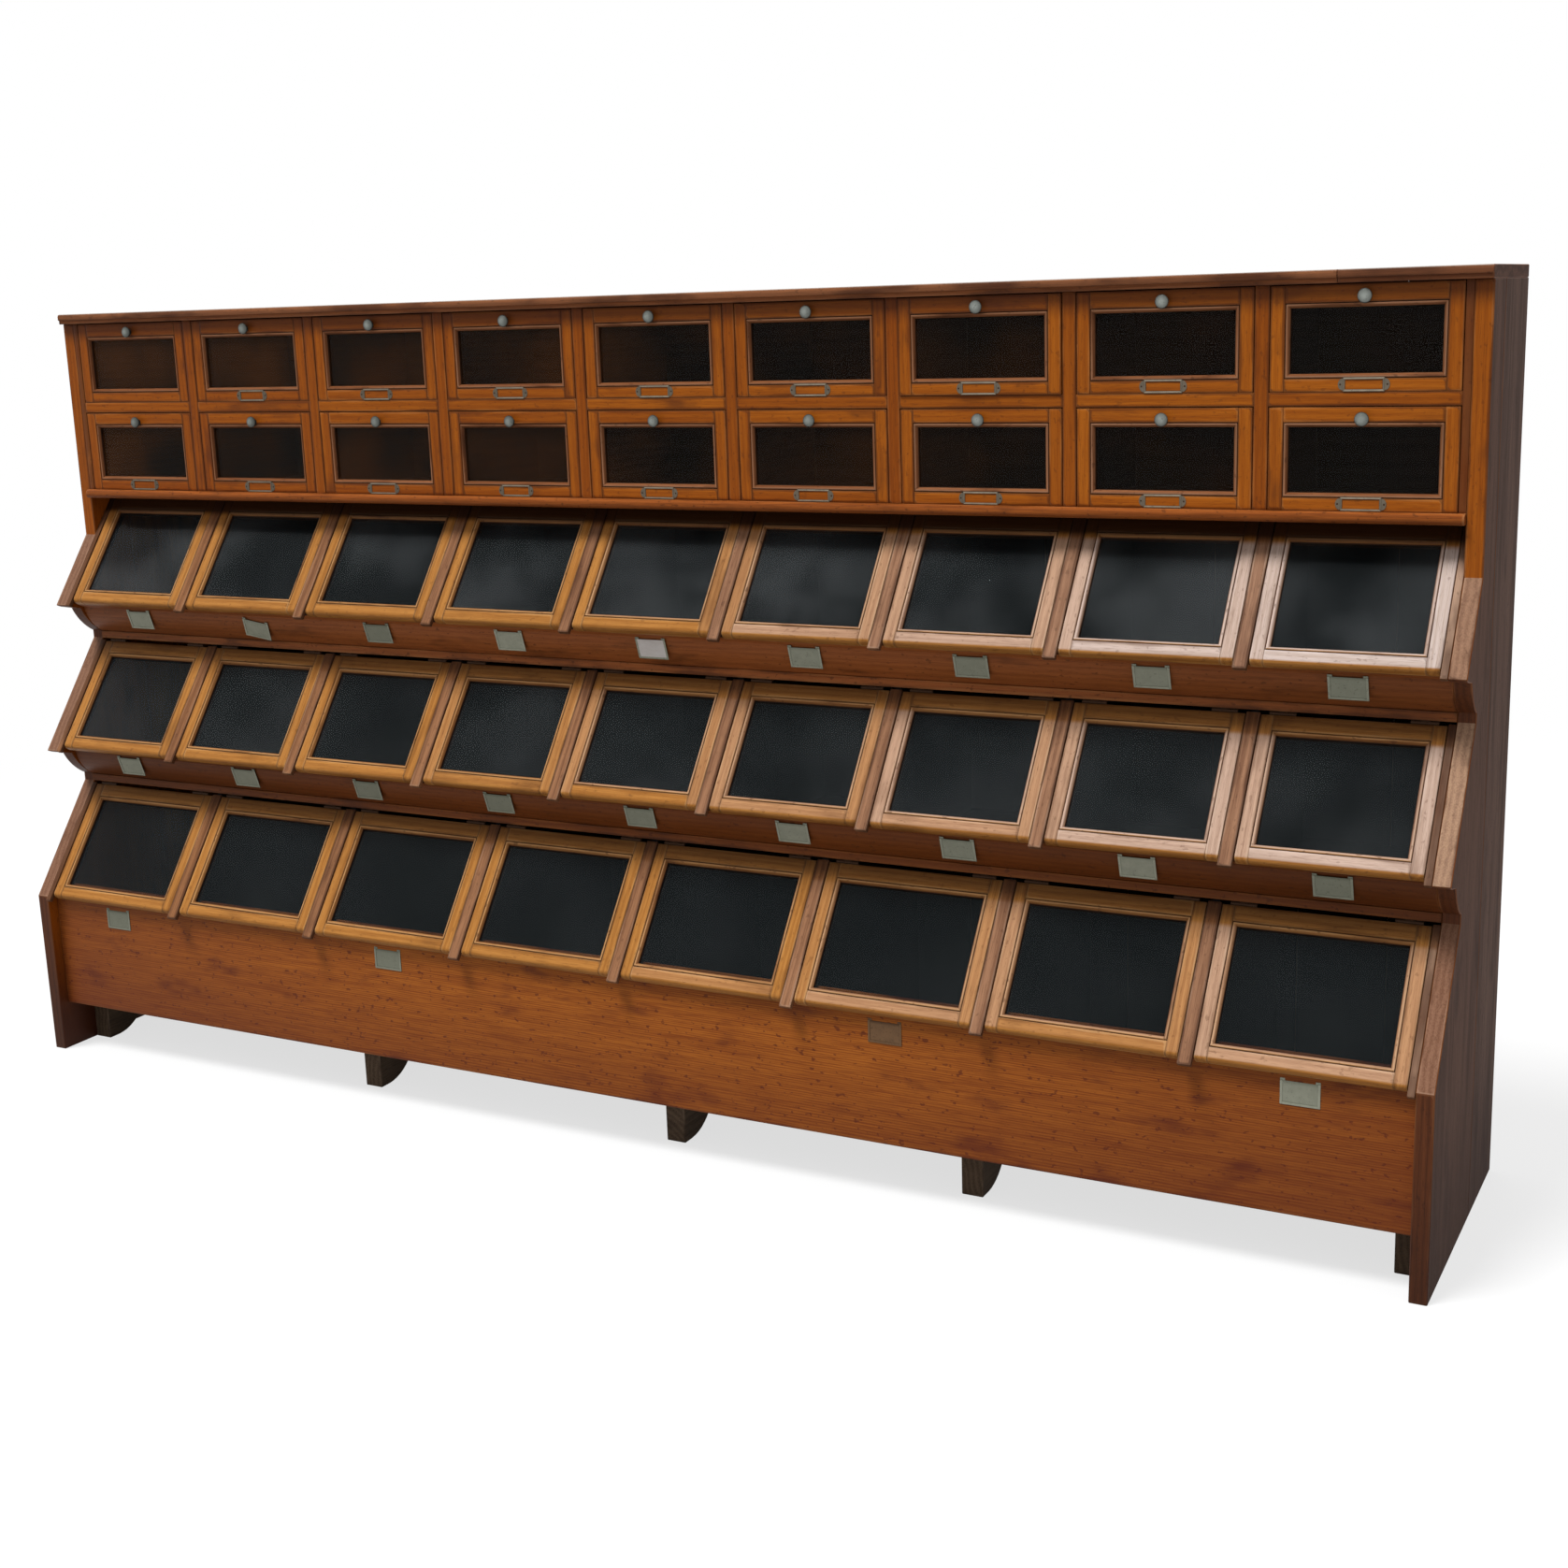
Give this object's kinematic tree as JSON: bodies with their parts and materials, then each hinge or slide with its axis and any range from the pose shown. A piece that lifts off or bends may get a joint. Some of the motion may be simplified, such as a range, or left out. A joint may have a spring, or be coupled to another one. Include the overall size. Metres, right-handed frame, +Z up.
{
  "type": "shop display cabinet",
  "caption": "Wide wooden shop cabinet: rows of glass-fronted drawers above stepped tiers of bins with sloping hinged glass lids.",
  "frame": {"origin": "middle of the footprint, on the floor", "axes": "+X along the front, towards the right end as seen by a customer; +Y from the front to the back; +Z up"},
  "size_m": [3.03, 0.581, 1.615],
  "materials": {
    "drawer_oak": "varnished oak, worn satin",
    "lid_pine": "worn pine, waxed",
    "end_panel_wood": "weathered wood, dull",
    "top_wood": "weathered wood, dull",
    "back_wood": "rough sawn wood",
    "inside_wood": "bare wood, stained dark",
    "fascia_wood": "dark red-brown varnish",
    "base_wood": "red-brown varnish with dents",
    "strip_wood": "worn bare wood",
    "foot_wood": "raw dark wood",
    "plate_zinc": "tarnished zinc",
    "hinge_steel": "dull steel",
    "pane_glass": "clear old glass",
    "knob_nickel": "dull nickel plate"
  },
  "bodies": {
    "carcass": {"left_end_panel": "end_panel_wood", "right_end_panel": "end_panel_wood", "top_board": "top_wood", "back_boards": "back_wood", "drawer_face_frame": "drawer_oak", "drawer_partitions": "inside_wood", "nosing_board": "drawer_oak", "fascia_upper": "fascia_wood", "fascia_middle": "fascia_wood", "base_board": "base_wood", "bin_floors": "inside_wood", "bin_dividers": "inside_wood", "lid_strips": "strip_wood", "inner_feet": "foot_wood", "label_plates": "plate_zinc", "hinge_leaves": "hinge_steel"},
    "upper_drawer_1": {"upper_drawer_1": "drawer_oak"},
    "upper_drawer_2": {"upper_drawer_2": "drawer_oak"},
    "upper_drawer_3": {"upper_drawer_3": "drawer_oak"},
    "upper_drawer_4": {"upper_drawer_4": "drawer_oak"},
    "upper_drawer_5": {"upper_drawer_5": "drawer_oak"},
    "upper_drawer_6": {"upper_drawer_6": "drawer_oak"},
    "upper_drawer_7": {"upper_drawer_7": "drawer_oak"},
    "upper_drawer_8": {"upper_drawer_8": "drawer_oak"},
    "upper_drawer_9": {"upper_drawer_9": "drawer_oak"},
    "lower_drawer_1": {"lower_drawer_1": "drawer_oak"},
    "lower_drawer_2": {"lower_drawer_2": "drawer_oak"},
    "lower_drawer_3": {"lower_drawer_3": "drawer_oak"},
    "lower_drawer_4": {"lower_drawer_4": "drawer_oak"},
    "lower_drawer_5": {"lower_drawer_5": "drawer_oak"},
    "lower_drawer_6": {"lower_drawer_6": "drawer_oak"},
    "lower_drawer_7": {"lower_drawer_7": "drawer_oak"},
    "lower_drawer_8": {"lower_drawer_8": "drawer_oak"},
    "lower_drawer_9": {"lower_drawer_9": "drawer_oak"},
    "tier_1_lid_1": {"tier_1_lid_1": "lid_pine"},
    "tier_1_lid_2": {"tier_1_lid_2": "lid_pine"},
    "tier_1_lid_3": {"tier_1_lid_3": "lid_pine"},
    "tier_1_lid_4": {"tier_1_lid_4": "lid_pine"},
    "tier_1_lid_5": {"tier_1_lid_5": "lid_pine"},
    "tier_1_lid_6": {"tier_1_lid_6": "lid_pine"},
    "tier_1_lid_7": {"tier_1_lid_7": "lid_pine"},
    "tier_1_lid_8": {"tier_1_lid_8": "lid_pine"},
    "tier_1_lid_9": {"tier_1_lid_9": "lid_pine"},
    "tier_2_lid_1": {"tier_2_lid_1": "lid_pine"},
    "tier_2_lid_2": {"tier_2_lid_2": "lid_pine"},
    "tier_2_lid_3": {"tier_2_lid_3": "lid_pine"},
    "tier_2_lid_4": {"tier_2_lid_4": "lid_pine"},
    "tier_2_lid_5": {"tier_2_lid_5": "lid_pine"},
    "tier_2_lid_6": {"tier_2_lid_6": "lid_pine"},
    "tier_2_lid_7": {"tier_2_lid_7": "lid_pine"},
    "tier_2_lid_8": {"tier_2_lid_8": "lid_pine"},
    "tier_2_lid_9": {"tier_2_lid_9": "lid_pine"},
    "tier_3_lid_1": {"tier_3_lid_1": "lid_pine"},
    "tier_3_lid_2": {"tier_3_lid_2": "lid_pine"},
    "tier_3_lid_3": {"tier_3_lid_3": "lid_pine"},
    "tier_3_lid_4": {"tier_3_lid_4": "lid_pine"},
    "tier_3_lid_5": {"tier_3_lid_5": "lid_pine"},
    "tier_3_lid_6": {"tier_3_lid_6": "lid_pine"},
    "tier_3_lid_7": {"tier_3_lid_7": "lid_pine"},
    "tier_3_lid_8": {"tier_3_lid_8": "lid_pine"}
  },
  "joints": [
    {"name": "upper_drawer_5_slide", "type": "slide", "parent": "carcass", "child": "upper_drawer_5", "axis": [0, -1, 0], "range_m": [0, 0.25]},
    {"name": "lower_drawer_5_slide", "type": "slide", "parent": "carcass", "child": "lower_drawer_5", "axis": [0, -1, 0], "range_m": [0, 0.25]},
    {"name": "tier_1_lid_5_hinge", "type": "hinge", "parent": "carcass", "child": "tier_1_lid_5", "pos_m": [0, 0.0239, 1.2125], "axis": [-1, 0, 0], "range_deg": [0, 48]},
    {"name": "tier_2_lid_5_hinge", "type": "hinge", "parent": "carcass", "child": "tier_2_lid_5", "pos_m": [0, -0.0471, 0.8975], "axis": [-1, 0, 0], "range_deg": [0, 80]},
    {"name": "tier_3_lid_4_hinge", "type": "hinge", "parent": "carcass", "child": "tier_3_lid_4", "pos_m": [-0.18563, -0.1181, 0.5825], "axis": [-1, 0, 0], "range_deg": [0, 80]},
    {"name": "upper_drawer_7_slide", "type": "slide", "parent": "carcass", "child": "upper_drawer_7", "axis": [0, -1, 0], "range_m": [-0.003, 0.247]},
    {"name": "tier_1_lid_1_hinge", "type": "hinge", "parent": "carcass", "child": "tier_1_lid_1", "pos_m": [-1.32, 0.0239, 1.2125], "axis": [-1, 0, 0], "range_deg": [0, 48]},
    {"name": "tier_1_lid_9_hinge", "type": "hinge", "parent": "carcass", "child": "tier_1_lid_9", "pos_m": [1.32, 0.0239, 1.2125], "axis": [-1, 0, 0], "range_deg": [0, 48]},
    {"name": "tier_2_lid_9_hinge", "type": "hinge", "parent": "carcass", "child": "tier_2_lid_9", "pos_m": [1.32, -0.0471, 0.8975], "axis": [-1, 0, 0], "range_deg": [0, 80]},
    {"name": "tier_3_lid_8_hinge", "type": "hinge", "parent": "carcass", "child": "tier_3_lid_8", "pos_m": [1.29937, -0.1181, 0.5825], "axis": [-1, 0, 0], "range_deg": [0, 80]},
    {"name": "tier_3_lid_1_hinge", "type": "hinge", "parent": "carcass", "child": "tier_3_lid_1", "pos_m": [-1.29937, -0.1181, 0.5825], "axis": [-1, 0, 0], "range_deg": [0, 80]},
    {"name": "upper_drawer_9_slide", "type": "slide", "parent": "carcass", "child": "upper_drawer_9", "axis": [0, -1, 0], "range_m": [0, 0.25]},
    {"name": "lower_drawer_9_slide", "type": "slide", "parent": "carcass", "child": "lower_drawer_9", "axis": [0, -1, 0], "range_m": [0, 0.25]},
    {"name": "upper_drawer_1_slide", "type": "slide", "parent": "carcass", "child": "upper_drawer_1", "axis": [0, -1, 0], "range_m": [0, 0.25]},
    {"name": "lower_drawer_1_slide", "type": "slide", "parent": "carcass", "child": "lower_drawer_1", "axis": [0, -1, 0], "range_m": [0, 0.25]},
    {"name": "tier_2_lid_1_hinge", "type": "hinge", "parent": "carcass", "child": "tier_2_lid_1", "pos_m": [-1.32, -0.0471, 0.8975], "axis": [-1, 0, 0], "range_deg": [0, 80]},
    {"name": "upper_drawer_2_slide", "type": "slide", "parent": "carcass", "child": "upper_drawer_2", "axis": [0, -1, 0], "range_m": [0, 0.25]},
    {"name": "upper_drawer_3_slide", "type": "slide", "parent": "carcass", "child": "upper_drawer_3", "axis": [0, -1, 0], "range_m": [0, 0.25]},
    {"name": "upper_drawer_4_slide", "type": "slide", "parent": "carcass", "child": "upper_drawer_4", "axis": [0, -1, 0], "range_m": [0, 0.25]},
    {"name": "upper_drawer_6_slide", "type": "slide", "parent": "carcass", "child": "upper_drawer_6", "axis": [0, -1, 0], "range_m": [0, 0.25]},
    {"name": "upper_drawer_8_slide", "type": "slide", "parent": "carcass", "child": "upper_drawer_8", "axis": [0, -1, 0], "range_m": [0, 0.25]},
    {"name": "lower_drawer_2_slide", "type": "slide", "parent": "carcass", "child": "lower_drawer_2", "axis": [0, -1, 0], "range_m": [0, 0.25]},
    {"name": "lower_drawer_3_slide", "type": "slide", "parent": "carcass", "child": "lower_drawer_3", "axis": [0, -1, 0], "range_m": [0, 0.25]},
    {"name": "lower_drawer_4_slide", "type": "slide", "parent": "carcass", "child": "lower_drawer_4", "axis": [0, -1, 0], "range_m": [0, 0.25]},
    {"name": "lower_drawer_6_slide", "type": "slide", "parent": "carcass", "child": "lower_drawer_6", "axis": [0, -1, 0], "range_m": [0, 0.25]},
    {"name": "lower_drawer_7_slide", "type": "slide", "parent": "carcass", "child": "lower_drawer_7", "axis": [0, -1, 0], "range_m": [0, 0.25]},
    {"name": "lower_drawer_8_slide", "type": "slide", "parent": "carcass", "child": "lower_drawer_8", "axis": [0, -1, 0], "range_m": [0, 0.25]},
    {"name": "tier_1_lid_2_hinge", "type": "hinge", "parent": "carcass", "child": "tier_1_lid_2", "pos_m": [-0.99, 0.0239, 1.2125], "axis": [-1, 0, 0], "range_deg": [0, 48]},
    {"name": "tier_1_lid_3_hinge", "type": "hinge", "parent": "carcass", "child": "tier_1_lid_3", "pos_m": [-0.66, 0.0239, 1.2125], "axis": [-1, 0, 0], "range_deg": [0, 48]},
    {"name": "tier_1_lid_4_hinge", "type": "hinge", "parent": "carcass", "child": "tier_1_lid_4", "pos_m": [-0.33, 0.0239, 1.2125], "axis": [-1, 0, 0], "range_deg": [0, 48]},
    {"name": "tier_1_lid_6_hinge", "type": "hinge", "parent": "carcass", "child": "tier_1_lid_6", "pos_m": [0.33, 0.0239, 1.2125], "axis": [-1, 0, 0], "range_deg": [0, 48]},
    {"name": "tier_1_lid_7_hinge", "type": "hinge", "parent": "carcass", "child": "tier_1_lid_7", "pos_m": [0.66, 0.0239, 1.2125], "axis": [-1, 0, 0], "range_deg": [0, 48]},
    {"name": "tier_1_lid_8_hinge", "type": "hinge", "parent": "carcass", "child": "tier_1_lid_8", "pos_m": [0.99, 0.0239, 1.2125], "axis": [-1, 0, 0], "range_deg": [0, 48]},
    {"name": "tier_2_lid_2_hinge", "type": "hinge", "parent": "carcass", "child": "tier_2_lid_2", "pos_m": [-0.99, -0.0471, 0.8975], "axis": [-1, 0, 0], "range_deg": [0, 80]},
    {"name": "tier_2_lid_3_hinge", "type": "hinge", "parent": "carcass", "child": "tier_2_lid_3", "pos_m": [-0.66, -0.0471, 0.8975], "axis": [-1, 0, 0], "range_deg": [0, 80]},
    {"name": "tier_2_lid_4_hinge", "type": "hinge", "parent": "carcass", "child": "tier_2_lid_4", "pos_m": [-0.33, -0.0471, 0.8975], "axis": [-1, 0, 0], "range_deg": [0, 80]},
    {"name": "tier_2_lid_6_hinge", "type": "hinge", "parent": "carcass", "child": "tier_2_lid_6", "pos_m": [0.33, -0.0471, 0.8975], "axis": [-1, 0, 0], "range_deg": [0, 80]},
    {"name": "tier_2_lid_7_hinge", "type": "hinge", "parent": "carcass", "child": "tier_2_lid_7", "pos_m": [0.66, -0.0471, 0.8975], "axis": [-1, 0, 0], "range_deg": [0, 80]},
    {"name": "tier_2_lid_8_hinge", "type": "hinge", "parent": "carcass", "child": "tier_2_lid_8", "pos_m": [0.99, -0.0471, 0.8975], "axis": [-1, 0, 0], "range_deg": [0, 80]},
    {"name": "tier_3_lid_2_hinge", "type": "hinge", "parent": "carcass", "child": "tier_3_lid_2", "pos_m": [-0.92812, -0.1181, 0.5825], "axis": [-1, 0, 0], "range_deg": [0, 80]},
    {"name": "tier_3_lid_3_hinge", "type": "hinge", "parent": "carcass", "child": "tier_3_lid_3", "pos_m": [-0.55688, -0.1181, 0.5825], "axis": [-1, 0, 0], "range_deg": [0, 80]},
    {"name": "tier_3_lid_5_hinge", "type": "hinge", "parent": "carcass", "child": "tier_3_lid_5", "pos_m": [0.18563, -0.1181, 0.5825], "axis": [-1, 0, 0], "range_deg": [0, 80]},
    {"name": "tier_3_lid_6_hinge", "type": "hinge", "parent": "carcass", "child": "tier_3_lid_6", "pos_m": [0.55688, -0.1181, 0.5825], "axis": [-1, 0, 0], "range_deg": [0, 80]},
    {"name": "tier_3_lid_7_hinge", "type": "hinge", "parent": "carcass", "child": "tier_3_lid_7", "pos_m": [0.92812, -0.1181, 0.5825], "axis": [-1, 0, 0], "range_deg": [0, 80]}
  ]
}
